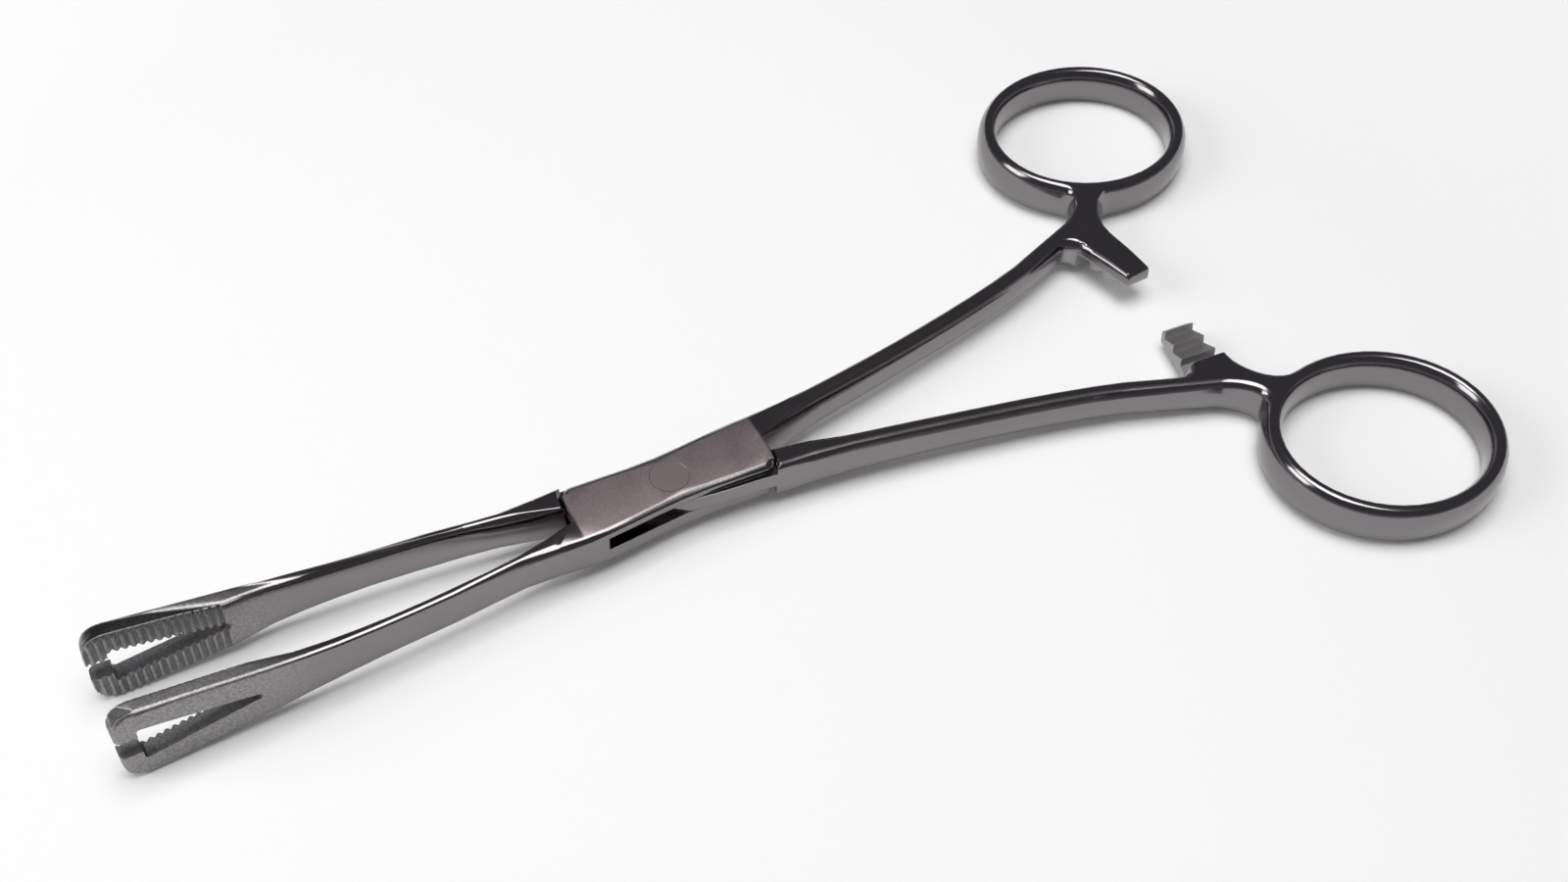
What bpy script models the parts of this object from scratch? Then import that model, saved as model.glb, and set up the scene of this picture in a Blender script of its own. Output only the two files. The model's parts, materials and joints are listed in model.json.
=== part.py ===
"""Ring-handled piercing clamp with slotted triangular jaws, drawn open by a few degrees.

Two one-piece forgings and a riveted pivot pin. The box half carries the lock's slotted box, the tongue
half passes through it. Both forgings come from one drawing: a plan outline, a height along the length and
an edge section. The tongue half is that drawing mirrored in plan, with a tongue in place of the box.

Frame: origin on the pivot axis at the lock's underside, +X towards the finger rings, +Z up. The drawing is
made in millimetres with the clamp closed, about the mid-plane of the lock, with the handle on +Y.
"""

import math

import bmesh
import bpy
from mathutils import Vector

MM = 0.001

# Pose in which the clamp is drawn: each half is turned this far from closed
HALF_OPENING = 3.4

# Lock
LOCK_THICKNESS = 4.84
PLATE_END_RADIUS = 11.5
PLATE_HALF_WIDTH_FREE = 4.1
PLATE_HALF_WIDTH_FIXED = 3.5
PLATE_HALF_WIDTH_WAIST = 3.25
PLATE_CORNER = 1.1
TOP_PLATE = 1.1
TONGUE_THICKNESS = 1.75
TONGUE_GAP = 0.06
SHOULDER_GAP = 0.08
SLOT_HALF_LENGTH = 9.06
SLOT_WALL_STEP = 0.15
JAW_CROTCH = 0.27
SHANK_CROTCH = 0.15
SHOULDER_CHAMFER = 0.4

# Pivot pin: a rivet peened into a countersink on each face
PIN_RADIUS = 1.5
PIN_HEAD_RADIUS = 2.1
PIN_HEAD_DEPTH = 0.6
PIN_FIXED_GAP = 0.04
PIN_RUNNING_GAP = 0.08

# Jaw shaft
SHAFT_WIDTH = 1.4
SHAFT_HEIGHT = 4.7
SHAFT_OUTER_OFFSET = 3.0
SHAFT_ROOT_LENGTH = 3.0
SHAFT_ROOT_RISE = 0.3
SHAFT_ROOT_SWEEP = 7.5
SHAFT_HEEL_SWEEP = 8.8
SHAFT_WAIST_TO_HEAD = 10.2

# Jaw
JAW_REACH = 60.2
JAW_FACE_LENGTH = 13.4
JAW_THICKNESS = 2.08
JAW_TIP_GAP = 0.11
TONGUE_JAW_SET = 0.5
JAW_FACE_TOE_IN = 2.4
JAW_TIP_HEIGHT = 10.4
JAW_TIP_RADIUS = 2.6
JAW_NOSE_CORNER = 0.7
JAW_NOSE_INNER_CORNER = 0.4
JAW_OUTER_LEAN = 0.07
JAW_HEEL_SWEEP = 2.0
JAW_HEEL_FALL = 4.5
JAW_HEEL_STEP = 0.62
HEAD_LENGTH = 20.0
HEAD_ROOT_HEIGHT = 5.5
OPENING_FRONT_WALL = 2.15
OPENING_LENGTH = 11.7
OPENING_FRONT_HEIGHT = 4.6
OPENING_APEX_RADIUS = 0.4
OPENING_CORNER_RADIUS = 0.4
TIP_SLOT_WIDTH = 2.5
SERRATION_PITCH = 0.8
SERRATION_DEPTH = 0.32
SERRATION_FIRST = 0.4
SERRATION_LAND = 0.1

# Shank
SHANK_ROOT_OFFSET = 2.17
SHANK_ROOT_WIDTH = 2.85
SHANK_ROOT_LENGTH = 10.0
SHANK_WIDTH = 2.75
SHANK_HEIGHT = 4.2
SHANK_LENGTH = 60.0
SHANK_FLARE = 9.87
SHANK_FLARE_ANGLE = 19.4
SHANK_BOW_X = 36.3
SHANK_BOW_Y = 4.75
SHANK_BOW_ANGLE = 8.0

# Finger ring, measured along the middle of its band
RING_SEMI_LENGTH = 12.93
RING_SEMI_WIDTH = 11.27
RING_TILT = 3.7
RING_BAND = 2.44
RING_HEIGHT = 5.1
RING_FROM_SHANK = (15.5, 14.93)
RING_JOIN_INNER = -110.0
RING_JOIN_OUTER = 219.0
RING_SECTION_POWER = 2.15
RING_CROWN_SHARE = 0.985
NECK_HEIGHT_SHARES = (1.2, 1.75)
NECK_ROUND_SHARES = (1.12, 1.4)

# Ratchet arm
ARM_FROM_SHANK = 4.3
ARM_WIDTH = 3.8
ARM_ROOT_WIDTH = 4.9
ARM_OVERREACH = 0.1
ARM_CORNER = 0.6
ARM_BLEND = 3.0
CROOK_DEPTH = 1.7
CROOK_DROP = 2.6
NECK_STEP = 2.2
TOOTH_PITCH = 2.25
TOOTH_COUNT = 3
TOOTH_DEPTH = 1.0
TOOTH_LEAD_IN = 0.95
TOOTH_STEEP_RUN = 0.22

# Edge section
SHANK_BEVEL_WIDTH = 0.6
SHANK_BEVEL_DEPTH = 0.75
JAW_BEVEL_WIDTH = 0.35
JAW_BEVEL_DEPTH = 0.4
PLATE_BEVEL_WIDTH = 0.7
PLATE_BEVEL_DEPTH = 0.35
PLATE_END_BEVEL = 0.13
SHANK_DRAFT = 0.28
JAW_DRAFT = 0.1
ARM_DRAFT = 0.12

# Fineness of the drawing
TURN_STEP = 12.0
LONGEST_STEP = 4.5
NOSE_STEP = 0.5
RING_STEPS = 52

MID_HEIGHT = LOCK_THICKNESS / 2
TONGUE_TOP = MID_HEIGHT - TOP_PLATE - TONGUE_GAP
TONGUE_BOTTOM = TONGUE_TOP - TONGUE_THICKNESS
SHOULDER_RADIUS = PLATE_END_RADIUS + SHOULDER_GAP
RING_CENTRE = (SHANK_LENGTH + RING_FROM_SHANK[0], SHANK_FLARE + RING_FROM_SHANK[1])
ARM_X = SHANK_LENGTH + ARM_FROM_SHANK
JAW_FACE_X = JAW_REACH - JAW_FACE_LENGTH
SHAFT_ROOT_X = PLATE_END_RADIUS + SHAFT_ROOT_LENGTH
SHAFT_NEAR_X = SHAFT_ROOT_X + SHAFT_ROOT_SWEEP
SHAFT_FAR_X = JAW_FACE_X - SHAFT_HEEL_SWEEP
SHAFT_WAIST_X = JAW_REACH - HEAD_LENGTH - SHAFT_WAIST_TO_HEAD
SHAFT_ROOT_KNOT = (-SHAFT_ROOT_X, -PLATE_HALF_WIDTH_FIXED + SHAFT_ROOT_RISE, -2)
CLEAR = 5.0


def heading(degrees):
    """Unit vector at this angle from +X."""
    return Vector((math.cos(math.radians(degrees)), math.sin(math.radians(degrees))))


def smooth(value, low, high):
    """0 below low, 1 above high, with an even slope at both ends."""
    share = min(1.0, max(0.0, (value - low) / (high - low)))
    return share * share * (3 - 2 * share)


def blend(low, high, share):
    return low + (high - low) * share


def curve(*knots, longest=LONGEST_STEP):
    """Points along a smooth curve through knots of x, y and heading. The last knot is left to what follows."""
    points = []
    for (x0, y0, a0), (x1, y1, a1) in zip(knots, knots[1:]):
        start = Vector((x0, y0))
        end = Vector((x1, y1))
        chord = (end - start).length
        turn = abs((a1 - a0 + 180) % 360 - 180)
        pull = chord / math.cos(math.radians(turn / 4)) ** 2
        steps = max(1, math.ceil(turn / TURN_STEP), math.ceil(chord / longest))
        for step in range(steps):
            t = step / steps
            points.append(
                start * (2 * t**3 - 3 * t**2 + 1)
                + heading(a0) * pull * (t**3 - 2 * t**2 + t)
                + end * (3 * t**2 - 2 * t**3)
                + heading(a1) * pull * (t**3 - t**2)
            )
    return points


def arc(centre, radius, first, last):
    """Points along an arc of the given angles, both ends kept."""
    steps = max(1, math.ceil(abs(last - first) / TURN_STEP))
    return [
        Vector(centre) + radius * heading(blend(first, last, step / steps))
        for step in range(steps + 1)
    ]


def ring_point(angle, outward):
    """Point and heading at this angle on the ring's oval, moved outward from the middle of the band."""
    a = RING_SEMI_LENGTH + outward
    b = RING_SEMI_WIDTH + outward
    c = math.cos(math.radians(angle))
    s = math.sin(math.radians(angle))
    along = heading(RING_TILT)
    across = heading(RING_TILT + 90)
    point = Vector(RING_CENTRE) + along * a * c + across * b * s
    tangent = across * b * c - along * a * s
    return point, math.degrees(math.atan2(tangent.y, tangent.x))


def shank_side(side):
    """One long edge of the shank, from the lock outwards: the middle line moved half a width to side."""
    middle = curve(
        (PLATE_END_RADIUS, SHANK_ROOT_OFFSET, 3.2),
        (SHANK_BOW_X, SHANK_BOW_Y, SHANK_BOW_ANGLE),
        (SHANK_LENGTH, SHANK_FLARE, SHANK_FLARE_ANGLE),
    )
    edge = []
    for here, after in zip(middle, middle[1:]):
        along = (after - here).normalized()
        reach = blend(SHANK_ROOT_WIDTH, SHANK_WIDTH, smooth(here.x, PLATE_END_RADIUS, SHANK_BOW_X)) / 2
        if side < 0:
            past_root = smooth(here.x, PLATE_END_RADIUS + 1.5, PLATE_END_RADIUS + SHANK_ROOT_LENGTH)
            reach = blend(SHANK_ROOT_OFFSET - SHANK_CROTCH, reach, past_root)
        edge.append(here + Vector((-along.y, along.x)) * side * reach)
    return edge


def jaw_outer_side():
    """Outer edge of jaw and shaft, from the tip back to the lock."""
    tip_outer = -JAW_TIP_GAP - JAW_THICKNESS
    heel_outer = -JAW_TIP_GAP - math.tan(math.radians(JAW_FACE_TOE_IN)) * JAW_FACE_LENGTH - JAW_THICKNESS
    nose = curve(
        (-JAW_REACH, tip_outer + JAW_NOSE_CORNER, 270),
        (-JAW_REACH + JAW_NOSE_CORNER, tip_outer, -2),
        (-JAW_REACH + JAW_TIP_RADIUS, tip_outer - JAW_OUTER_LEAN, -2),
        longest=NOSE_STEP,
    )
    return nose + curve(
        (-JAW_REACH + JAW_TIP_RADIUS, tip_outer - JAW_OUTER_LEAN, -2),
        (-JAW_FACE_X + JAW_HEEL_SWEEP, heel_outer - JAW_OUTER_LEAN, -3),
        (-SHAFT_FAR_X, -SHAFT_OUTER_OFFSET, 0),
        (-SHAFT_NEAR_X, -SHAFT_OUTER_OFFSET + JAW_OUTER_LEAN, 1),
        SHAFT_ROOT_KNOT,
    )


def jaw_inner_side():
    """Inner edge of shaft and jaw, from the lock out to the tip."""
    heel = -JAW_TIP_GAP - math.tan(math.radians(JAW_FACE_TOE_IN)) * JAW_FACE_LENGTH
    shaft_inner = -SHAFT_OUTER_OFFSET + SHAFT_WIDTH
    slope = math.tan(math.radians(JAW_FACE_TOE_IN))
    shaft = curve(
        (-PLATE_END_RADIUS, -JAW_CROTCH, 180),
        (-SHAFT_NEAR_X, shaft_inner + SHAFT_ROOT_RISE, 186),
        (-(SHAFT_NEAR_X + JAW_FACE_X - JAW_HEEL_FALL) / 2, shaft_inner, 180),
        (-JAW_FACE_X + JAW_HEEL_FALL, heel - JAW_HEEL_STEP, 178),
        (-JAW_FACE_X, heel, 180 - JAW_FACE_TOE_IN),
        (-JAW_REACH + JAW_TIP_RADIUS, -JAW_TIP_GAP - slope * JAW_TIP_RADIUS, 180 - JAW_FACE_TOE_IN),
    )
    return shaft + curve(
        (-JAW_REACH + JAW_TIP_RADIUS, -JAW_TIP_GAP - slope * JAW_TIP_RADIUS, 180 - JAW_FACE_TOE_IN),
        (-JAW_REACH + JAW_NOSE_INNER_CORNER, -JAW_TIP_GAP, 180 - JAW_FACE_TOE_IN),
        (-JAW_REACH, -JAW_TIP_GAP - JAW_NOSE_INNER_CORNER, 270),
        (-JAW_REACH, -JAW_TIP_GAP - JAW_THICKNESS + JAW_NOSE_CORNER, 270),
        longest=NOSE_STEP,
    )


def arm_and_neck():
    """From the shank's inner edge round the ratchet arm and into the finger ring."""
    join, join_heading = ring_point(RING_JOIN_INNER, RING_BAND / 2)
    left = ARM_X - ARM_WIDTH / 2
    right = ARM_X + ARM_WIDTH / 2
    root_left = ARM_X + ARM_WIDTH / 2 - ARM_ROOT_WIDTH + 0.2
    crook = SHANK_FLARE - CROOK_DEPTH
    return curve(
        (SHANK_LENGTH - 1.0, crook, SHANK_FLARE_ANGLE),
        (root_left, crook - CROOK_DROP, -82),
        (left, -ARM_OVERREACH + ARM_CORNER, -85),
        (left + ARM_CORNER, -ARM_OVERREACH, 0),
        (right - ARM_CORNER, -ARM_OVERREACH, 0),
        (right, -ARM_OVERREACH + ARM_CORNER, 90),
        (right + 0.15, SHANK_FLARE - NECK_STEP, 88),
        (join.x, join.y, join_heading),
    )


def ring_outside():
    """The ring's outer edge, from the neck's inner side round to its outer side, then onto the shank."""
    points = []
    for step in range(RING_STEPS):
        angle = blend(RING_JOIN_INNER, RING_JOIN_OUTER, step / RING_STEPS)
        points.append(ring_point(angle, RING_BAND / 2)[0])
    leave, leave_heading = ring_point(RING_JOIN_OUTER, RING_BAND / 2)
    return points + curve(
        (leave.x, leave.y, leave_heading),
        (SHANK_LENGTH + NECK_STEP, SHANK_FLARE + 2.13, 180 + SHANK_FLARE_ANGLE + 3),
        (SHANK_LENGTH - 1.5, SHANK_FLARE + 0.9, 180 + SHANK_FLARE_ANGLE),
    )


def ring_hole():
    steps = RING_STEPS - 4
    return [ring_point(360 * step / steps, -RING_BAND / 2)[0] for step in range(steps)]


def plate_free_end(crotch):
    """Free end of a box plate at +X: out along its long edge, a rounded corner, then the arc about the pin."""
    width = PLATE_HALF_WIDTH_FREE
    end = math.sqrt(PLATE_END_RADIUS**2 - width**2)
    first = -math.degrees(math.asin((width - PLATE_CORNER) / PLATE_END_RADIUS))
    last = math.degrees(math.asin(crotch / PLATE_END_RADIUS))
    start = PLATE_END_RADIUS * heading(first)
    return curve(
        (0, -PLATE_HALF_WIDTH_WAIST, 0),
        (end - PLATE_CORNER, -width, -6),
        (start.x, start.y, first + 90),
    ) + arc((0, 0), PLATE_END_RADIUS, first, last)


def box_near_side():
    """Box plates from the jaw's root, past the pin, round the free end to the shank's root."""
    return curve(
        SHAFT_ROOT_KNOT,
        (-SLOT_HALF_LENGTH, -PLATE_HALF_WIDTH_FIXED, 1),
        (0, -PLATE_HALF_WIDTH_WAIST, 0),
    ) + plate_free_end(SHANK_CROTCH)


def box_far_side():
    """Box plates from the shank's root, past the pin, round the other free end to the jaw's root."""
    return curve(
        (SLOT_HALF_LENGTH, PLATE_HALF_WIDTH_FIXED, 181),
        (0, PLATE_HALF_WIDTH_WAIST, 180),
    ) + [-point for point in plate_free_end(JAW_CROTCH)]


def tongue_near_side():
    """The tongue's edge that crosses from the jaw's root to the shank's inner side."""
    return curve(
        SHAFT_ROOT_KNOT,
        (-SLOT_HALF_LENGTH, -PLATE_HALF_WIDTH_FIXED + 0.1, 1),
        (-1.5, -PLATE_HALF_WIDTH_WAIST + 0.1, 6),
        (SLOT_HALF_LENGTH - 0.6, SHANK_CROTCH + 0.05, 4),
        (PLATE_END_RADIUS, SHANK_CROTCH, 0),
    )


def tongue_far_side():
    """The tongue's edge that crosses from the shank's root to the jaw's inner side."""
    return curve(
        (SLOT_HALF_LENGTH, PLATE_HALF_WIDTH_FIXED - 0.1, 181),
        (1.5, PLATE_HALF_WIDTH_WAIST - 0.1, 186),
        (-SLOT_HALF_LENGTH + 0.4, -JAW_CROTCH + 0.1, 194),
        (-PLATE_END_RADIUS, -JAW_CROTCH, 180),
    )


def jaw_set(x, at_tip):
    """How far the shaft and jaw stand out at x when the tip is set out by at_tip."""
    return at_tip * max(0.0, -x - SHAFT_ROOT_X) / (JAW_REACH - SHAFT_ROOT_X)


def outline(near_side, far_side, set_out):
    """The whole half in plan, counter-clockwise from the jaw's tip."""
    loop = (
        jaw_outer_side()
        + near_side
        + shank_side(-1)[1:]
        + arm_and_neck()
        + ring_outside()
        + shank_side(1)[:0:-1]
        + far_side
        + jaw_inner_side()
    )
    return [point - Vector((0, jaw_set(point.x, set_out))) for point in loop]


def ring_distance(point):
    """Distance from the ring's centre, as a share of the oval along the middle of its band."""
    offset = point - Vector(RING_CENTRE)
    along = offset.dot(heading(RING_TILT)) / RING_SEMI_LENGTH
    across = offset.dot(heading(RING_TILT + 90)) / RING_SEMI_WIDTH
    return math.hypot(along, across)


def half_height(point):
    """Half the forging's height at a point of the plan."""
    x = point.x
    if x < -JAW_REACH + HEAD_LENGTH:
        height = blend(JAW_TIP_HEIGHT, HEAD_ROOT_HEIGHT, (x + JAW_REACH) / HEAD_LENGTH)
        drop = min(JAW_TIP_RADIUS, max(0.0, JAW_TIP_RADIUS - (x + JAW_REACH)))
        return height / 2 - JAW_TIP_RADIUS + math.sqrt(JAW_TIP_RADIUS**2 - drop**2)
    if x < -SHAFT_WAIST_X:
        share = (x + SHAFT_WAIST_X) / (-JAW_REACH + HEAD_LENGTH + SHAFT_WAIST_X)
        return blend(SHAFT_HEIGHT, HEAD_ROOT_HEIGHT, share**2) / 2
    if x < 0:
        return blend(SHAFT_HEIGHT, LOCK_THICKNESS, smooth(x, -SHAFT_WAIST_X, -PLATE_END_RADIUS)) / 2
    shank = blend(LOCK_THICKNESS, SHANK_HEIGHT, smooth(x, PLATE_END_RADIUS + 1.0, SHANK_BOW_X))
    return blend(RING_HEIGHT, shank, smooth(ring_distance(point), *NECK_HEIGHT_SHARES)) / 2


def bevel(point):
    """Side draft, then width and depth of the bevel along the top edge, at this point of the plan."""
    on_jaw = smooth(-point.x, PLATE_END_RADIUS + 6.0, PLATE_END_RADIUS + 14.0)
    off_plate = smooth(abs(point.x), SLOT_HALF_LENGTH - 1.0, SHAFT_ROOT_X)
    past_crook = smooth(SHANK_FLARE - CROOK_DEPTH - point.y, 0.0, ARM_BLEND)
    on_arm = past_crook * smooth(point.x, SHANK_LENGTH - 2.0, SHANK_LENGTH)
    draft = blend(SHANK_DRAFT, JAW_DRAFT, on_jaw)
    width = blend(SHANK_BEVEL_WIDTH, JAW_BEVEL_WIDTH, max(on_jaw, on_arm))
    depth = blend(SHANK_BEVEL_DEPTH, JAW_BEVEL_DEPTH, max(on_jaw, on_arm))
    draft = blend(draft, ARM_DRAFT, on_arm)
    draft *= smooth(abs(point.x), PLATE_END_RADIUS + 0.5, PLATE_END_RADIUS + 6.0)
    draft = blend(draft, 0.0, smooth(-point.x, JAW_FACE_X - 6.0, JAW_FACE_X))
    width = blend(PLATE_BEVEL_WIDTH, width, off_plate)
    depth = blend(PLATE_BEVEL_DEPTH, depth, off_plate)
    if abs(point.length - PLATE_END_RADIUS) < SHOULDER_GAP / 2:
        width = PLATE_END_BEVEL
        depth = PLATE_END_BEVEL
    return draft, width, depth


def edge_section(point):
    """Height and inset of each level from the mid-plane to the top face at this point of the outline."""
    top = half_height(point)
    draft, width, depth = bevel(point)
    side = top - depth
    forged = [
        (0.0, 0.0),
        (side * 0.45, draft * 0.2),
        (side * 0.8, draft * 0.6),
        (side, draft),
        (top - depth * 0.4, draft + width * 0.45),
        (top, draft + width),
    ]
    share = 1 - smooth(ring_distance(point), *NECK_ROUND_SHARES)
    section = []
    for (z, inset), level in zip(forged, (0.0, 0.32, 0.58, 0.79, 0.93, 1.0)):
        bulge = (RING_CROWN_SHARE * level) ** RING_SECTION_POWER
        round_inset = RING_BAND / 2 * (1 - (1 - bulge) ** (1 / RING_SECTION_POWER))
        section.append((blend(z, top * level, share), blend(inset, round_inset, share)))
    return section


def inward_normals(points):
    """For each point of a counter-clockwise loop, the step that moves both its edges in by one."""
    normals = []
    for before, here, after in zip(points[-1:] + points[:-1], points, points[1:] + points[:1]):
        first = (here - before).normalized()
        second = (after - here).normalized()
        n1 = Vector((-first.y, first.x))
        n2 = Vector((-second.y, second.x))
        normals.append((n1 + n2) / (1 + n1.dot(n2)))
    return normals


def loft_loop(bm, points):
    """Side walls of one closed loop, from its bottom level to its top. Returns the two end loops of edges."""
    normals = inward_normals(points)
    sections = [edge_section(point) for point in points]
    levels = len(sections[0])
    rows = []
    for level in range(-levels + 1, levels):
        row = []
        for point, normal, section in zip(points, normals, sections):
            z, inset = section[abs(level)]
            place = point + normal * inset
            row.append(bm.verts.new((place.x * MM, place.y * MM, math.copysign(z, level) * MM)))
        rows.append(row)
    count = len(points)
    for lower, upper in zip(rows, rows[1:]):
        for i in range(count):
            j = (i + 1) % count
            bm.faces.new((lower[i], lower[j], upper[j], upper[i]))
    return [[bm.edges.get((row[i], row[(i + 1) % count])) for i in range(count)] for row in (rows[0], rows[-1])]


def forging(name, loops, material):
    """A solid from an outer loop and any hole loops, lofted through the edge section and capped."""
    bm = bmesh.new()
    ends = [loft_loop(bm, loop) for loop in loops]
    for caps in zip(*ends):
        bmesh.ops.triangle_fill(bm, edges=[edge for cap in caps for edge in cap], use_beauty=True)
    bmesh.ops.recalc_face_normals(bm, faces=bm.faces)
    return add_object(name, bm, material)


def prism(name, profile, axis, low, high):
    """A cutter: a plan profile extruded along x, y or z between two places."""
    bm = bmesh.new()
    order = {"x": (2, 0, 1), "y": (0, 2, 1), "z": (0, 1, 2)}[axis]
    rows = []
    for place in (low, high):
        row = []
        for u, v in profile:
            spot = (u, v, place)
            row.append(bm.verts.new([spot[k] * MM for k in order]))
        rows.append(row)
    count = len(profile)
    for i in range(count):
        j = (i + 1) % count
        bm.faces.new((rows[0][i], rows[0][j], rows[1][j], rows[1][i]))
    bm.faces.new(rows[0][::-1])
    bm.faces.new(rows[1])
    bmesh.ops.recalc_face_normals(bm, faces=bm.faces)
    return add_object(name, bm)


def turned(name, profile, material=None, segments=40):
    """A solid of revolution about the pivot axis from (radius, height) pairs, bottom to top."""
    bm = bmesh.new()
    rows = []
    for radius, height in profile:
        row = []
        for step in range(segments):
            spoke = heading(360 * step / segments) * radius
            row.append(bm.verts.new((spoke.x * MM, spoke.y * MM, height * MM)))
        rows.append(row)
    for lower, upper in zip(rows, rows[1:]):
        for i in range(segments):
            j = (i + 1) % segments
            bm.faces.new((lower[i], lower[j], upper[j], upper[i]))
    bm.faces.new(rows[0][::-1])
    bm.faces.new(rows[-1])
    return add_object(name, bm, material)


def add_object(name, bm, material=None):
    """Links a bmesh as an object. One with no material is a cutter, kept out of the render."""
    mesh = bpy.data.meshes.new(name)
    bm.to_mesh(mesh)
    bm.free()
    obj = bpy.data.objects.new(name, mesh)
    bpy.context.scene.collection.objects.link(obj)
    if material:
        mesh.materials.append(material)
        mesh.shade_smooth()
        mesh.set_sharp_from_angle(angle=math.radians(28))
    else:
        obj.hide_render = True
        obj.display_type = "WIRE"
    return obj


def cut(obj, cutter):
    """Takes the cutter out of the object, and makes the cutter follow it."""
    modifier = obj.modifiers.new(cutter.name, "BOOLEAN")
    modifier.operation = "DIFFERENCE"
    modifier.solver = "EXACT"
    modifier.object = cutter
    cutter.parent = obj


def mirrored(points):
    """A loop mirrored in y and still counter-clockwise."""
    return [Vector((point.x, -point.y)) for point in reversed(points)]


def cut_jaw(half, side, set_out, tag):
    """Opening, tip slot and clamping serrations of one jaw. side is -1 for a jaw at -Y, 1 for one at +Y."""
    front = -JAW_REACH + OPENING_FRONT_WALL
    apex = front + OPENING_LENGTH - OPENING_APEX_RADIUS
    rise = OPENING_FRONT_HEIGHT / 2 - OPENING_CORNER_RADIUS
    slope = math.degrees(math.atan2(rise, OPENING_LENGTH))
    top_corner = (front + OPENING_CORNER_RADIUS, rise)
    bottom_corner = (front + OPENING_CORNER_RADIUS, -rise)
    window = (
        arc((apex, 0), OPENING_APEX_RADIUS, -90 + slope, 90 - slope)
        + arc(top_corner, OPENING_CORNER_RADIUS, 90 - slope, 180)
        + arc(bottom_corner, OPENING_CORNER_RADIUS, 180, 270 + slope)
    )
    reach = JAW_THICKNESS + SHAFT_OUTER_OFFSET + CLEAR
    cut(half, prism(f"{tag}_window", window, "y", -reach, reach))

    half_slot = TIP_SLOT_WIDTH / 2
    gate = [(-reach, -half_slot), (reach, -half_slot), (reach, half_slot), (-reach, half_slot)]
    cut(half, prism(f"{tag}_tip_slot", gate, "x", -JAW_REACH - CLEAR, front + OPENING_CORNER_RADIUS))

    lean = math.tan(math.radians(JAW_FACE_TOE_IN))
    count = round((JAW_FACE_LENGTH - SERRATION_FIRST) / SERRATION_PITCH)
    first = -JAW_REACH + SERRATION_FIRST
    comb = [(first - SERRATION_PITCH, -side * CLEAR), (first - SERRATION_PITCH, 0.0)]
    for half_step in range(-1, 2 * count + 2):
        x = first + half_step * SERRATION_PITCH / 2
        face = JAW_TIP_GAP + lean * (x + JAW_REACH) + jaw_set(x, set_out)
        depth = -SERRATION_LAND if half_step % 2 else SERRATION_DEPTH
        comb.append((x, side * (face + depth)))
    comb.append((x, -side * CLEAR))
    cut(half, prism(f"{tag}_serrations", comb, "z", -JAW_TIP_HEIGHT, JAW_TIP_HEIGHT))


def cut_ratchet(half, side, level, tag):
    """Sawtooth under or over one arm. side is the handle's, level 1 keeps the top of the arm."""
    crest = -TOOTH_DEPTH / 2
    valley = TOOTH_DEPTH / 2
    teeth = [(-ARM_OVERREACH - CLEAR, valley), (-ARM_OVERREACH, valley)]
    for tooth in range(TOOTH_COUNT):
        peak = -ARM_OVERREACH + TOOTH_LEAD_IN + tooth * TOOTH_PITCH
        teeth.append((peak, crest))
        teeth.append((peak + TOOTH_STEEP_RUN, valley))
    wall = -ARM_OVERREACH + TOOTH_LEAD_IN + TOOTH_COUNT * TOOTH_PITCH
    teeth.append((wall - TOOTH_STEEP_RUN, valley))
    teeth.append((wall, -SHANK_HEIGHT))
    teeth.append((-ARM_OVERREACH - CLEAR, -SHANK_HEIGHT))
    profile = [(side * y, level * z) for y, z in teeth]
    low = ARM_X - ARM_ROOT_WIDTH - 1.0
    cut(half, prism(f"{tag}_teeth", profile, "x", low, ARM_X + ARM_WIDTH))


def cut_box_slot(half):
    """The slot that the tongue passes through: open on both long sides and at each plate's free end."""
    jaw_wall = -JAW_CROTCH + SLOT_WALL_STEP
    shank_wall = SHANK_CROTCH - SLOT_WALL_STEP
    out = PLATE_END_RADIUS + 1.0
    side = PLATE_HALF_WIDTH_FREE + CLEAR
    plan = [
        (-SLOT_HALF_LENGTH, -side),
        (out, -side),
        (out, shank_wall),
        (SLOT_HALF_LENGTH, shank_wall),
        (SLOT_HALF_LENGTH, side),
        (-out, side),
        (-out, jaw_wall),
        (-SLOT_HALF_LENGTH, jaw_wall),
    ]
    cut(half, prism("box_slot", plan, "z", TONGUE_BOTTOM - TONGUE_GAP, TONGUE_TOP + TONGUE_GAP))


def cut_tongue(half):
    """Takes the box plates' room off the tongue half, above and below the tongue."""
    rim = MID_HEIGHT - SHOULDER_CHAMFER
    flared = SHOULDER_RADIUS + SHOULDER_CHAMFER + CLEAR
    above = [(SHOULDER_RADIUS, TONGUE_TOP), (SHOULDER_RADIUS, rim), (flared, MID_HEIGHT + CLEAR)]
    below = [(flared, -MID_HEIGHT - CLEAR), (SHOULDER_RADIUS, -rim), (SHOULDER_RADIUS, TONGUE_BOTTOM)]
    cut(half, turned("room_for_top_plate", above, segments=120))
    cut(half, turned("room_for_bottom_plate", below, segments=120))


def rivet_profile(gap, reach):
    """The rivet grown by a gap, with its ends moved out by reach."""
    top = MID_HEIGHT + reach
    head = PIN_HEAD_RADIUS + gap
    neck = MID_HEIGHT - PIN_HEAD_DEPTH
    shaft = PIN_RADIUS + gap
    flare = (head - shaft) / PIN_HEAD_DEPTH
    return [
        (head + flare * reach, -top),
        (shaft, -neck),
        (shaft, neck),
        (head + flare * reach, top),
    ]


def steel(name, colour, roughness):
    material = bpy.data.materials.new(name)
    material.use_nodes = True
    shader = material.node_tree.nodes["Principled BSDF"]
    shader.inputs["Base Color"].default_value = (*colour, 1)
    shader.inputs["Metallic"].default_value = 1.0
    shader.inputs["Roughness"].default_value = roughness
    return material


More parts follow.
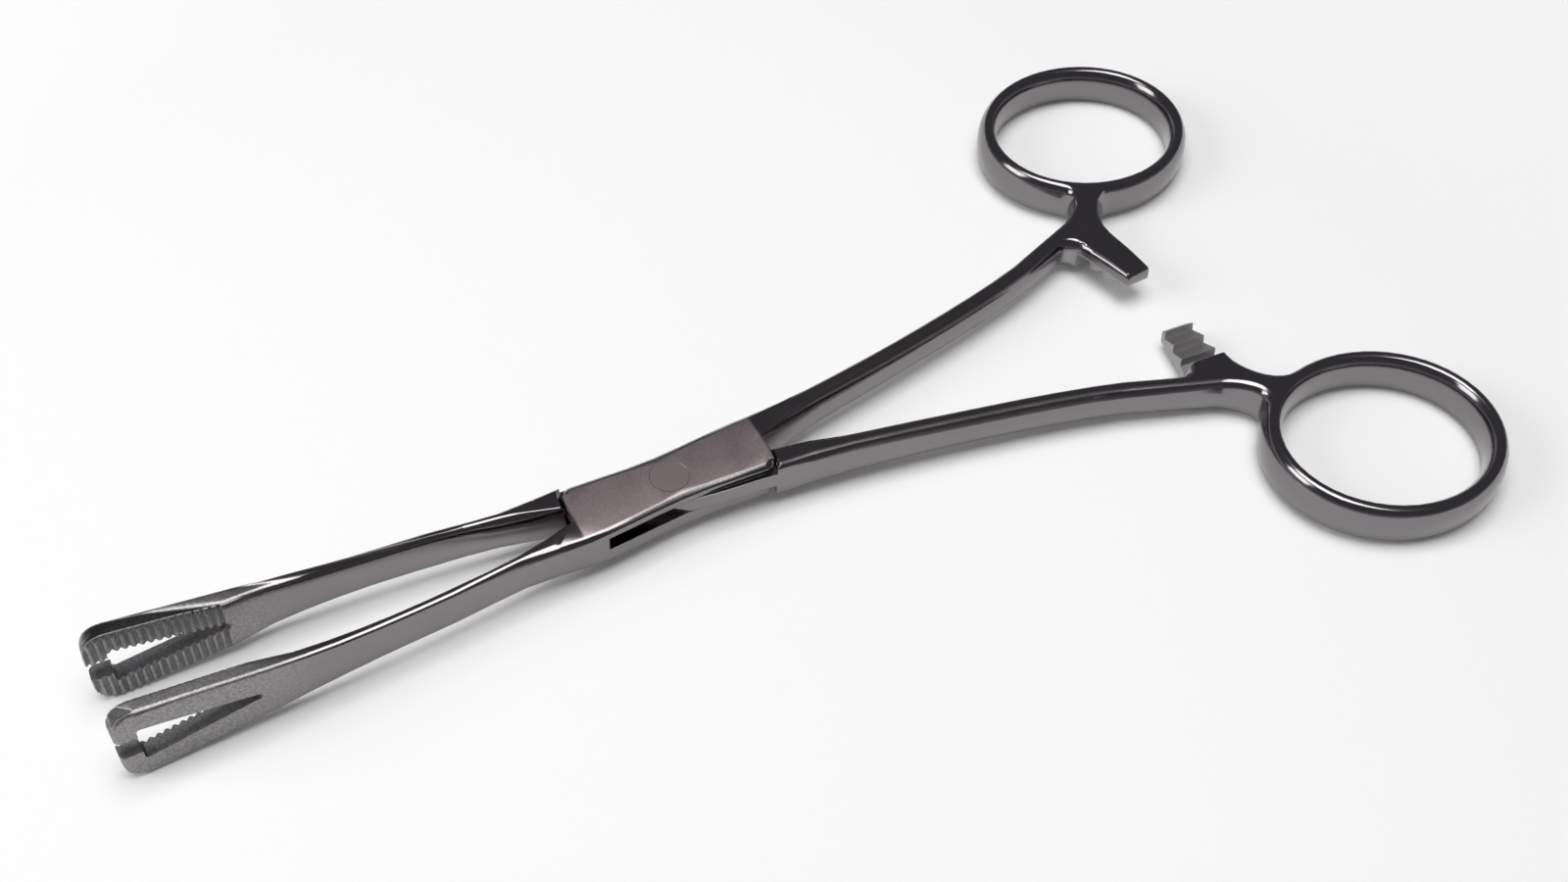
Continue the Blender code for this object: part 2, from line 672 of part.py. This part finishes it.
def make_box_half():
    """Far handle, box and near jaw, with the ratchet arm on the upper level."""
    loops = [outline(box_near_side(), box_far_side(), 0.0), ring_hole()[::-1]]
    half = forging("box_half", loops, steel("satin_steel_box_half", (0.42, 0.42, 0.44), 0.34))
    cut_box_slot(half)
    cut(half, turned("pin_seat", rivet_profile(PIN_FIXED_GAP, 0.5)))
    cut_jaw(half, -1, 0.0, "near_jaw")
    cut_ratchet(half, 1, 1, "upper_arm")
    return half


def make_tongue_half():
    """Near handle, tongue and far jaw, with the ratchet arm on the lower level."""
    drawing = [outline(tongue_near_side(), tongue_far_side(), TONGUE_JAW_SET), ring_hole()[::-1]]
    loops = [mirrored(loop) for loop in drawing]
    half = forging("tongue_half", loops, steel("satin_steel_tongue_half", (0.42, 0.42, 0.44), 0.34))
    cut_tongue(half)
    bore = [(PIN_RADIUS + PIN_RUNNING_GAP, -MID_HEIGHT), (PIN_RADIUS + PIN_RUNNING_GAP, MID_HEIGHT)]
    cut(half, turned("tongue_bore", bore))
    cut_jaw(half, 1, TONGUE_JAW_SET, "far_jaw")
    cut_ratchet(half, -1, -1, "lower_arm")
    return half


def make_pivot_pin():
    return turned("pivot_pin", rivet_profile(0.0, 0.0), steel("ground_steel_pin", (0.5, 0.5, 0.52), 0.3))


def main():
    for obj in list(bpy.data.objects):
        bpy.data.objects.remove(obj, do_unlink=True)
    box_half = make_box_half()
    tongue_half = make_tongue_half()
    pivot_pin = make_pivot_pin()
    for piece in (box_half, tongue_half, pivot_pin):
        piece.location.z = MID_HEIGHT * MM
    box_half.rotation_euler.z = math.radians(HALF_OPENING)
    tongue_half.rotation_euler.z = -math.radians(HALF_OPENING)


main()
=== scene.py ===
import json
import math

import bmesh
import bpy
from mathutils import Euler, Matrix, Vector


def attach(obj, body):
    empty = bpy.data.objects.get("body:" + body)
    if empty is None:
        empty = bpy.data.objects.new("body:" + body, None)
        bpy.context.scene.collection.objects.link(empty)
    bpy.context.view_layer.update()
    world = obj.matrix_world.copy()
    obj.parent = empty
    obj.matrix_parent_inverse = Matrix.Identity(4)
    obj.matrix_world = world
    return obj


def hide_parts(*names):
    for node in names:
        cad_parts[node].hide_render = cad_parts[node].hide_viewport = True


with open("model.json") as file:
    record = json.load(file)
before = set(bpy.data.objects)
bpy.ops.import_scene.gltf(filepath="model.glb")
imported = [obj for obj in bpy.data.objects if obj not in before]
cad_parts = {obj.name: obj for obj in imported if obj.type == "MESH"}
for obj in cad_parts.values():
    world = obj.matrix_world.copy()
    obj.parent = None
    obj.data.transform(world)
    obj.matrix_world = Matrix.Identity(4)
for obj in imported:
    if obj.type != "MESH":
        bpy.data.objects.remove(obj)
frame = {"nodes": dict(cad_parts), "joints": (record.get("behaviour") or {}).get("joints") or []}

# Finishes, buffed edges and studio of a ring-handled clamp, forged in stainless steel

MM = 0.001

# Places along X, in millimetres from the pivot's axis, and for the ratchet's root also how far aside
PLATE_END_X = 11.5
JAW_ROOT_X = 44.0
HANDLE_X = 50.0
ARM_X = 57.0
RATCHET_ROOT = (61.3, 11.0)

# The pivot, in metres, at the middle of the clamp's height: turned over about it, the handles are alike
PIVOT_MIDDLE = Vector(frame["joints"][0]["pos_m"])

# Where the near handle is welded on, in millimetres along its shank, and that shank's angle to X in degrees
HANDLE_JOIN = 50.0
HALF_OPENING = 3.4

# Corners closer than this are one corner, in millimetres
WELD = 0.002

# Camera of the photograph: its place and lens in millimetres, its angles in degrees
CAMERA_PLACE = Vector((-55.60, -112.22, 151.82)) * MM
CAMERA_HEADING = 58.24
CAMERA_DOWN = 48.35
CAMERA_ROLL = 3.95
CAMERA_LENS = 42.04
SENSOR_WIDTH = 36.0
NEAREST_SEEN = 5.0

# Lamps, in metres and watts
OVERHEAD_PLACE = Vector((-0.02, 0.0, 0.60))
OVERHEAD_SIZE = 0.42
OVERHEAD_POWER = 2.5
WINDOW_PLACE = Vector((-0.58, 0.16, 0.36))
WINDOW_SIZE = 0.34
WINDOW_POWER = 1.5

# The room's shade by the height looked at, from 0 level with the eye to 1 straight up
ROOM_SHADES = (
    (0.0, "#d8d6d5"),
    (0.10, "#8c8a8c"),
    (0.24, "#5e5d62"),
    (0.86, "#5e5d62"),
    (1.0, "#b4b1b1"),
)

# Table: its side in metres, its gap under the clamp in millimetres, and its glow, which grows from the first
# strength to the second between two distances from the pivot in metres
TABLE_SIZE = 6.0
TABLE_GAP = 0.02
TABLE_GLOW = (0.05, 0.75)
GLOW_DISTANCES = (0.1, 0.8)

# The thin light that every edge catches: its radius in millimetres, and how finely it is drawn
EDGE_RADIUS = 0.16
EDGE_SAMPLES = 8

# Faces that meet at more than this, in degrees, meet at a crisp edge
CRISP_ANGLE = 35.0

# Rounding of the long edges between a flat and its bevel: its width in millimetres and its steps, the angles
# in degrees that such an edge has, the most of each face beside it that it may take, and how level a flat is
BUFFED_EDGE = 0.40
BUFFED_STEPS = 4
BUFFED_EDGE_ANGLES = (24.0, 60.0)
FACET_SHARE = 0.85
FLAT_SHARE = 0.42
LEVEL_FACE = 0.985

# Where that rounding starts and where it is full, in millimetres: from the plate's end, from the clamp's
# middle line on the ratchet arms, and from each arm's root
BUFFED_FROM_PLATE = (1.5, 5.0)
BUFFED_FROM_MIDDLE = (5.5, 8.5)
BUFFED_FROM_ROOT = (0.8, 4.0)

# Where each finish ends and the next begins, in millimetres
PLATE_FACE_X = (11.1, 11.6)
PLATE_FACE_Z = (4.76, 4.82)
JAW_MATT_X = (-48.0, -38.0)
HANDLE_TONE_X = (38.0, 58.0)
TEETH_X = (58.0, 59.5)
TEETH_Y = (11.0, 12.5)
TEETH_Z = (3.0, 3.3)
RIVET_ZONE = (2.3, 2.9)

# Sizes that such marks have on steel, across the surface and in depth, in millimetres, how strongly each
# shows, and the part of a pit's depth over which its colour turns from the darker to the lighter: a painted
# shade in the pits' depths
TARNISH_PATCH = 9.0
FINGER_MARK = 3.2
FORGING_WAVE = 7.0
WAVE_DEPTH = 0.05
WAVE_STRENGTH = 0.35
POLISH_LINE = 0.022
POLISH_LINE_LENGTH = 5.0
LINE_DEPTH = 0.0006
LINE_STRENGTH = 0.20
SATIN_GRAIN = 0.018
GRAIN_DEPTH = 0.0008
GRAIN_STRENGTH = 0.25
BLAST_PIT = 0.026
PIT_DEPTH = 0.0015
PIT_STRENGTH = 0.45
PIT_SHADES = (0.40, 0.62)

# Lines, grain and pits are too fine for the picture to show, so all three are drawn this much coarser
DRAWN_COARSER = 10.0

# Colours of each finish, the darker one of its mottle first; on the blasted and the ground steel the darker
# one is a painted shade in the pits' depths
BUFFED_STEEL = ("#7a7677", "#888485")
HANDLE_STEEL = "#827f81"
BLASTED_STEEL_AND_PIT_SHADE = ("#817f80", "#999798")
TEETH_STEEL = "#a9a7a8"
GROUND_STEEL_AND_PIT_SHADE = ("#ada0a1", "#b7abac")
RIVET_STEEL = ("#afa2a3", "#b3a6a7")
TABLE_WHITE = "#ffffff"

# How rough each finish is, or how much rougher than the one that it lies over
BUFFED_ROUGHNESS = (0.10, 0.19)
BLASTED_ROUGHER = 0.26
TEETH_ROUGHER = 0.16
GROUND_ROUGHER = 0.20
RIVET_ROUGHNESS = (0.30, 0.39)

# Sockets of a Mix node that take and give colours
FIRST_COLOUR = 6
SECOND_COLOUR = 7
MIXED_COLOUR = 2


def to_linear(code):
    """Linear RGBA of an sRGB hex colour."""
    shares = [int(code[i:i + 2], 16) / 255 for i in (1, 3, 5)]
    linear = [s / 12.92 if s <= 0.04045 else ((s + 0.055) / 1.055) ** 2.4 for s in shares]
    return (*linear, 1.0)


def add(tree, kind, inputs=None, **settings):
    """A node with its settings. Each input is given a value, or the socket that feeds it."""
    node = tree.nodes.new(kind)
    for name, value in settings.items():
        setattr(node, name, value)
    for name, value in (inputs or {}).items():
        if isinstance(value, bpy.types.NodeSocket):
            tree.links.new(value, node.inputs[name])
        else:
            node.inputs[name].default_value = value
    return node


def new_material(name):
    """An empty node material."""
    material = bpy.data.materials.new(name)
    material.use_nodes = True
    material.node_tree.nodes.clear()
    return material


def millimetres(tree):
    """The object's own coordinates in millimetres, as a vector and as separate X, Y and Z."""
    place = add(tree, "ShaderNodeTexCoord").outputs["Object"]
    scaled = add(tree, "ShaderNodeVectorMath", {0: place, "Scale": 1 / MM}, operation="SCALE").outputs[0]
    parts = add(tree, "ShaderNodeSeparateXYZ", {0: scaled})
    return scaled, parts.outputs["X"], parts.outputs["Y"], parts.outputs["Z"]


def finish_zones(tree, x, y, z):
    """How far each finish reaches, from 0 to 1: the handles, what is blasted, the teeth and the plate."""
    away = add(tree, "ShaderNodeMath", {0: x}, operation="ABSOLUTE").outputs[0]
    aside = add(tree, "ShaderNodeMath", {0: y}, operation="ABSOLUTE").outputs[0]

    # Each zone with the place where its edge lies, and how far the finish reaches before that edge
    reach = {}
    for zone, value, (start, end), before in (
        ("between the plate's ends", away, PLATE_FACE_X, 1.0),
        ("at the plate's top", z, PLATE_FACE_Z, 0.0),
        ("jaws", x, JAW_MATT_X, 1.0),
        ("handles", x, HANDLE_TONE_X, 0.0),
        ("past the arms' roots", x, TEETH_X, 0.0),
        ("between the shanks", aside, TEETH_Y, 1.0),
        ("below the arms' top", z, TEETH_Z, 1.0),
    ):
        reach[zone] = add(tree, "ShaderNodeMapRange", {
            "Value": value, "From Min": start, "From Max": end, "To Min": before, "To Max": 1.0 - before,
        }, interpolation_type="SMOOTHSTEP").outputs[0]

    # The plate's flat and the teeth lie where zones meet, and both the jaws and the teeth are blasted
    plate = add(tree, "ShaderNodeMath", {
        0: reach["between the plate's ends"], 1: reach["at the plate's top"],
    }, operation="MULTIPLY").outputs[0]
    arms = add(tree, "ShaderNodeMath", {
        0: reach["past the arms' roots"], 1: reach["between the shanks"],
    }, operation="MULTIPLY").outputs[0]
    teeth = add(tree, "ShaderNodeMath", {
        0: arms, 1: reach["below the arms' top"],
    }, operation="MULTIPLY").outputs[0]
    blasted = add(tree, "ShaderNodeMath", {0: reach["jaws"], 1: teeth}, operation="MAXIMUM").outputs[0]
    return reach["handles"], blasted, teeth, plate


def polished_stainless():
    """Forged martensitic stainless steel, buffed on the handles and shafts.

    Buffing by hand leaves a mirror that ripples over the forging, with faint lines along the length. The flat
    of the box lock is ground and bead-blasted, so it is warmer and duller. The jaws and the ratchet teeth are
    milled and blasted matt, so they scatter the light. The blasted steel and the plate's flat are painted
    darker in the depths of their pits, a painted shade that makes them look speckled."""
    material = new_material("buffed_surgical_stainless_steel")
    tree = material.node_tree
    place, x, y, z = millimetres(tree)
    handles, blasted, teeth, plate = finish_zones(tree, x, y, z)

    # Patches where the steel has warmed in use, finger marks, the forging's ripple, and the finest marks, of
    # which the polishing lines are drawn out along the clamp's length
    line = POLISH_LINE * DRAWN_COARSER
    drawn_out = add(tree, "ShaderNodeVectorMath", {
        0: place, 1: (line / POLISH_LINE_LENGTH, 1.0, 1.0),
    }, operation="MULTIPLY").outputs[0]
    tarnish, marks, wave, lines, grain, pits = [
        add(tree, "ShaderNodeTexNoise", {"Vector": at, "Scale": 1 / size, "Detail": detail}).outputs[0]
        for at, size, detail in (
            (place, TARNISH_PATCH, 4.0),
            (place, FINGER_MARK, 5.0),
            (place, FORGING_WAVE, 1.0),
            (drawn_out, line, 2.0),
            (place, SATIN_GRAIN * DRAWN_COARSER, 2.0),
            (place, BLAST_PIT * DRAWN_COARSER, 4.0),
        )
    ]
    # Painted shade: the blasted and ground steel is coloured darker where its pits are deep, from the same
    # noise as their bump
    painted_pit_shade = add(tree, "ShaderNodeMapRange", {
        "Value": pits, "From Min": PIT_SHADES[0], "From Max": PIT_SHADES[1],
    }, interpolation_type="SMOOTHSTEP").outputs[0]

    # Mottle of the buffed steel, and painted shade in the pits' depths of the blasted and the ground steel
    buffed, matt, ground = [
        add(tree, "ShaderNodeMix", {
            "Factor": mottle, FIRST_COLOUR: to_linear(darker), SECOND_COLOUR: to_linear(lighter),
        }, data_type="RGBA").outputs[MIXED_COLOUR]
        for mottle, (darker, lighter) in (
            (tarnish, BUFFED_STEEL),
            (painted_pit_shade, BLASTED_STEEL_AND_PIT_SHADE),
            (painted_pit_shade, GROUND_STEEL_AND_PIT_SHADE),
        )
    ]

    # Each finish lies over the one before it, as far as its zone reaches
    colour = buffed
    for zone, finish in (
        (handles, to_linear(HANDLE_STEEL)),
        (blasted, matt),
        (teeth, to_linear(TEETH_STEEL)),
        (plate, ground),
    ):
        colour = add(tree, "ShaderNodeMix", {
            "Factor": zone, FIRST_COLOUR: colour, SECOND_COLOUR: finish,
        }, data_type="RGBA").outputs[MIXED_COLOUR]
    rough = add(tree, "ShaderNodeMapRange", {
        "Value": marks, "To Min": BUFFED_ROUGHNESS[0], "To Max": BUFFED_ROUGHNESS[1],
    }).outputs[0]
    for zone, rougher in ((blasted, BLASTED_ROUGHER), (teeth, TEETH_ROUGHER), (plate, GROUND_ROUGHER)):
        rough = add(tree, "ShaderNodeMath", {
            0: zone, 1: rougher, 2: rough,
        }, operation="MULTIPLY_ADD").outputs[0]

    # Every edge catches a thin light, except where the rivet is ground flush with the plate
    level = add(tree, "ShaderNodeVectorMath", {0: place, 1: (1.0, 1.0, 0.0)}, operation="MULTIPLY").outputs[0]
    from_pivot = add(tree, "ShaderNodeVectorMath", {0: level}, operation="LENGTH").outputs["Value"]
    radius = add(tree, "ShaderNodeMapRange", {
        "Value": from_pivot, "From Min": RIVET_ZONE[0], "From Max": RIVET_ZONE[1],
        "To Min": 0.0, "To Max": EDGE_RADIUS * MM,
    }, interpolation_type="SMOOTHSTEP").outputs[0]
    normal = add(tree, "ShaderNodeBevel", {"Radius": radius}, samples=EDGE_SAMPLES).outputs[0]

    # Pits are only where the steel is blasted, the plate's flat included
    pitted = add(tree, "ShaderNodeMath", {0: blasted, 1: plate}, operation="MAXIMUM").outputs[0]
    pit_height = add(tree, "ShaderNodeMath", {0: pits, 1: pitted}, operation="MULTIPLY").outputs[0]
    for height, depth, strength in (
        (wave, WAVE_DEPTH, WAVE_STRENGTH),
        (lines, LINE_DEPTH * DRAWN_COARSER, LINE_STRENGTH),
        (grain, GRAIN_DEPTH * DRAWN_COARSER, GRAIN_STRENGTH),
        (pit_height, PIT_DEPTH * DRAWN_COARSER, PIT_STRENGTH),
    ):
        normal = add(tree, "ShaderNodeBump", {
            "Height": height, "Normal": normal, "Strength": strength, "Distance": depth * MM,
        }).outputs[0]

    steel = add(tree, "ShaderNodeBsdfPrincipled", {
        "Base Color": colour, "Roughness": rough, "Normal": normal, "Metallic": 1.0,
    })
    add(tree, "ShaderNodeOutputMaterial", {"Surface": steel.outputs[0]})
    return material


def ground_rivet():
    """Rivet of the same steel, peened and ground flush with the plate: a satin face that hardly shows."""
    material = new_material("ground_stainless_rivet")
    tree = material.node_tree
    place, _, _, _ = millimetres(tree)
    grain, tarnish = [
        add(tree, "ShaderNodeTexNoise", {"Vector": place, "Scale": 1 / size, "Detail": 3.0}).outputs[0]
        for size in (SATIN_GRAIN * DRAWN_COARSER, FINGER_MARK)
    ]
    colour = add(tree, "ShaderNodeMix", {
        "Factor": tarnish, FIRST_COLOUR: to_linear(RIVET_STEEL[0]), SECOND_COLOUR: to_linear(RIVET_STEEL[1]),
    }, data_type="RGBA").outputs[MIXED_COLOUR]
    rough = add(tree, "ShaderNodeMapRange", {
        "Value": grain, "To Min": RIVET_ROUGHNESS[0], "To Max": RIVET_ROUGHNESS[1],
    }).outputs[0]
    bumped = add(tree, "ShaderNodeBump", {
        "Height": grain, "Strength": GRAIN_STRENGTH, "Distance": GRAIN_DEPTH * DRAWN_COARSER * MM,
    }).outputs[0]
    steel = add(tree, "ShaderNodeBsdfPrincipled", {
        "Base Color": colour, "Roughness": rough, "Normal": bumped, "Metallic": 1.0,
    })
    add(tree, "ShaderNodeOutputMaterial", {"Surface": steel.outputs[0]})
    return material


def matt_white_table():
    """White matt paint, which scatters the light evenly: it takes the clamp's shadow and mirrors nothing.

    A glow that only a look, a mirror or glass sees keeps the table white where the lamps no longer reach. It
    is faint beside the clamp, whose shadow stays, and it lights nothing."""
    material = new_material("matt_white_table")
    tree = material.node_tree
    matt = add(tree, "ShaderNodeBsdfDiffuse", {"Color": to_linear(TABLE_WHITE)})
    ray = add(tree, "ShaderNodeLightPath").outputs
    looked_at = ray["Is Camera Ray"]
    for seen_in in ("Is Glossy Ray", "Is Transmission Ray"):
        looked_at = add(tree, "ShaderNodeMath", {
            0: looked_at, 1: ray[seen_in],
        }, operation="MAXIMUM").outputs[0]
    place = add(tree, "ShaderNodeTexCoord").outputs["Object"]
    away = add(tree, "ShaderNodeVectorMath", {0: place}, operation="LENGTH").outputs["Value"]
    needed = add(tree, "ShaderNodeMapRange", {
        "Value": away, "From Min": GLOW_DISTANCES[0], "From Max": GLOW_DISTANCES[1],
        "To Min": TABLE_GLOW[0], "To Max": TABLE_GLOW[1],
    }).outputs[0]
    strength = add(tree, "ShaderNodeMath", {0: looked_at, 1: needed}, operation="MULTIPLY").outputs[0]
    glow = add(tree, "ShaderNodeEmission", {"Strength": strength})
    both = add(tree, "ShaderNodeAddShader", {0: matt.outputs[0], 1: glow.outputs[0]})
    add(tree, "ShaderNodeOutputMaterial", {"Surface": both.outputs[0]})
    return material


def closed_mesh(node):
    """One half's solid with its corners joined, so that its faces know their neighbours."""
    work = bmesh.new()
    work.from_mesh(frame["nodes"][node].data)
    bmesh.ops.remove_doubles(work, verts=work.verts, dist=WELD * MM)
    return work


def cut_shank(work, keep_handle):
    """Cuts a half square across its shank and keeps the handle's side or the lock's side."""
    angle = math.radians(-HALF_OPENING)
    along = Vector((math.cos(angle), math.sin(angle), 0.0))
    bmesh.ops.bisect_plane(
        work,
        geom=work.verts[:] + work.edges[:] + work.faces[:],
        plane_co=along * HANDLE_JOIN * MM,
        plane_no=along,
        clear_inner=keep_handle,
        clear_outer=not keep_handle,
    )


def tongue_mesh():
    """The tongue half with its round ring: both handles have one shape, turned over for the other hand.

    The two halves' shanks have the same section where they are cut, so the handle welds on without a seam."""
    handle = closed_mesh("box_half")
    middle = Matrix.Translation(PIVOT_MIDDLE)
    turned_over = middle @ Matrix.Rotation(math.pi, 4, "X") @ middle.inverted()
    bmesh.ops.transform(handle, matrix=turned_over, verts=handle.verts)
    cut_shank(handle, keep_handle=True)
    carried = bpy.data.meshes.new("handle")
    handle.to_mesh(carried)
    handle.free()
    work = closed_mesh("tongue_half")
    cut_shank(work, keep_handle=False)
    work.from_mesh(carried)
    bpy.data.meshes.remove(carried)
    bmesh.ops.remove_doubles(work, verts=work.verts, dist=WELD * MM)
    bmesh.ops.recalc_face_normals(work, faces=work.faces)
    return work


def smooth(value, low, high):
    """0 below low, 1 above high, with an even slope at both ends."""
    share = min(1.0, max(0.0, (value - low) / (high - low)))
    return share * share * (3 - 2 * share)


def buffed_share(x, y):
    """How much of the rounding an edge gets: none by the lock, on the ratchet and at its roots, else all."""
    share = smooth(abs(x) - PLATE_END_X, *BUFFED_FROM_PLATE)
    if x > ARM_X:
        share *= smooth(abs(y), *BUFFED_FROM_MIDDLE)
    return share * smooth(math.dist((x, abs(y)), RATCHET_ROOT), *BUFFED_FROM_ROOT)


def width_beside(edge, face):
    """How far a triangle reaches from one of its edges."""
    return 2 * face.calc_area() / max(edge.calc_length(), WELD * MM)


def buff_edges(piece):
    """Rounds the long edges between the forging's flat faces and its bevels, as far as both faces allow."""
    work = bmesh.new()
    work.from_mesh(piece.data)
    weights = work.edges.layers.float.new("bevel_weight_edge")
    low, high = (math.radians(angle) for angle in BUFFED_EDGE_ANGLES)
    for edge in work.edges:
        if len(edge.link_faces) != 2:
            continue
        place = (edge.verts[0].co + edge.verts[1].co) / 2 / MM
        flat, facet = sorted(edge.link_faces, key=lambda face: -abs(face.normal.z))
        if abs(flat.normal.z) > LEVEL_FACE and low < edge.calc_face_angle() < high:
            # An edge beside a narrow face is rounded by less, so that the rounding stays on that face
            space = min(FACET_SHARE * width_beside(edge, facet), FLAT_SHARE * width_beside(edge, flat))
            edge[weights] = buffed_share(place.x, place.y) * min(1.0, space / (BUFFED_EDGE * MM))
    work.to_mesh(piece.data)
    work.free()
    buffed = piece.modifiers.new("buffed_edges", "BEVEL")
    buffed.limit_method = "WEIGHT"
    buffed.width = BUFFED_EDGE * MM
    buffed.segments = BUFFED_STEPS
    buffed.use_clamp_overlap = False


def forging(node, work):
    """One half as the grinder leaves it, from its finished mesh. It takes its node's place and body."""
    mesh = bpy.data.meshes.new(node)
    work.to_mesh(mesh)
    work.free()
    piece = bpy.data.objects.new(node + "_forging", mesh)
    bpy.context.scene.collection.objects.link(piece)
    buff_edges(piece)
    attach(piece, node)
    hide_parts(node)
    return piece


def dress(piece, material):
    """Gives a piece its finish, with its curved stretches shaded as smooth."""
    piece.data.materials.clear()
    piece.data.materials.append(material)
    piece.data.shade_smooth()
    joined = piece.modifiers.new("joined_corners", "WELD")
    joined.merge_threshold = WELD * MM
    split = piece.modifiers.new("crisp_edges", "EDGE_SPLIT")
    split.split_angle = math.radians(CRISP_ANGLE)
    piece.modifiers.new("flat_grounds", "WEIGHTED_NORMAL")


def resting_plane(pieces):
    """Slope along X and height at the pivot of the plane that the jaws' tips and the rings rest on."""
    points = [v.co for piece in pieces for v in piece.data.vertices]
    front = min((p for p in points if p.x / MM < -JAW_ROOT_X), key=lambda p: p.z)
    slope = min((p.z - front.z) / (p.x - front.x) for p in points if p.x / MM > HANDLE_X)
    return slope, min(p.z - slope * p.x for p in points) - TABLE_GAP * MM


def floor(pieces):
    """The table, tilted by what it takes for the jaws' tips and both rings to rest on it."""
    slope, height = resting_plane(pieces)
    half = TABLE_SIZE / 2
    around = ((-half, -half), (half, -half), (half, half), (-half, half))
    mesh = bpy.data.meshes.new("table")
    mesh.from_pydata([(x, y, height + slope * x) for x, y in around], [], [(0, 1, 2, 3)])
    mesh.materials.append(matt_white_table())
    table = bpy.data.objects.new("table", mesh)
    bpy.context.scene.collection.objects.link(table)


def room():
    """A room round the table: pale by the floor, dark walls that the steel mirrors, and a paler ceiling."""
    world = bpy.data.worlds.new("pale_room")
    bpy.context.scene.world = world
    world.use_nodes = True
    tree = world.node_tree
    tree.nodes.clear()
    direction = add(tree, "ShaderNodeTexCoord").outputs["Generated"]
    height = add(tree, "ShaderNodeSeparateXYZ", {0: direction}).outputs["Z"]
    shade = add(tree, "ShaderNodeValToRGB", {"Fac": height})
    stops = shade.color_ramp.elements
    for place, _ in ROOM_SHADES[1:-1]:
        stops.new(place)
    for stop, (place, code) in zip(stops, ROOM_SHADES):
        stop.position = place
        stop.color = to_linear(code)
    light = add(tree, "ShaderNodeBackground", {"Color": shade.outputs[0], "Strength": 1.0})
    add(tree, "ShaderNodeOutputWorld", {"Surface": light.outputs[0]})


def panel(name, place, size, power):
    """Square soft box that faces the lock."""
    data = bpy.data.lights.new(name, "AREA")
    data.size = size
    data.energy = power
    lamp = bpy.data.objects.new(name, data)
    lamp.location = place
    lamp.rotation_euler = (-place).to_track_quat("-Z", "Y").to_euler()
    bpy.context.scene.collection.objects.link(lamp)


def camera():
    """Camera at the photograph's place, turned about its own axis by the photograph's roll."""
    data = bpy.data.cameras.new("photo_camera")
    data.lens = CAMERA_LENS
    data.sensor_width = SENSOR_WIDTH
    data.clip_start = NEAREST_SEEN * MM
    eye = bpy.data.objects.new("photo_camera", data)
    down = math.radians(CAMERA_DOWN)
    heading = math.radians(CAMERA_HEADING)
    level = math.cos(down)
    look = Vector((math.cos(heading) * level, math.sin(heading) * level, -math.sin(down)))
    upright = look.to_track_quat("-Z", "Y").to_matrix()
    roll = Euler((0, 0, math.radians(CAMERA_ROLL))).to_matrix()
    eye.rotation_euler = (upright @ roll).to_euler()
    eye.location = CAMERA_PLACE
    bpy.context.scene.collection.objects.link(eye)
    bpy.context.scene.camera = eye


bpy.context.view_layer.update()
halves = [
    forging("box_half", closed_mesh("box_half")),
    forging("tongue_half", tongue_mesh()),
]
steel = polished_stainless()
for half in halves:
    dress(half, steel)
dress(frame["nodes"]["pivot_pin"], ground_rivet())
floor(halves)
room()
panel("overhead", OVERHEAD_PLACE, OVERHEAD_SIZE, OVERHEAD_POWER)
panel("window", WINDOW_PLACE, WINDOW_SIZE, WINDOW_POWER)
camera()
bpy.context.scene.view_settings.view_transform = "Standard"
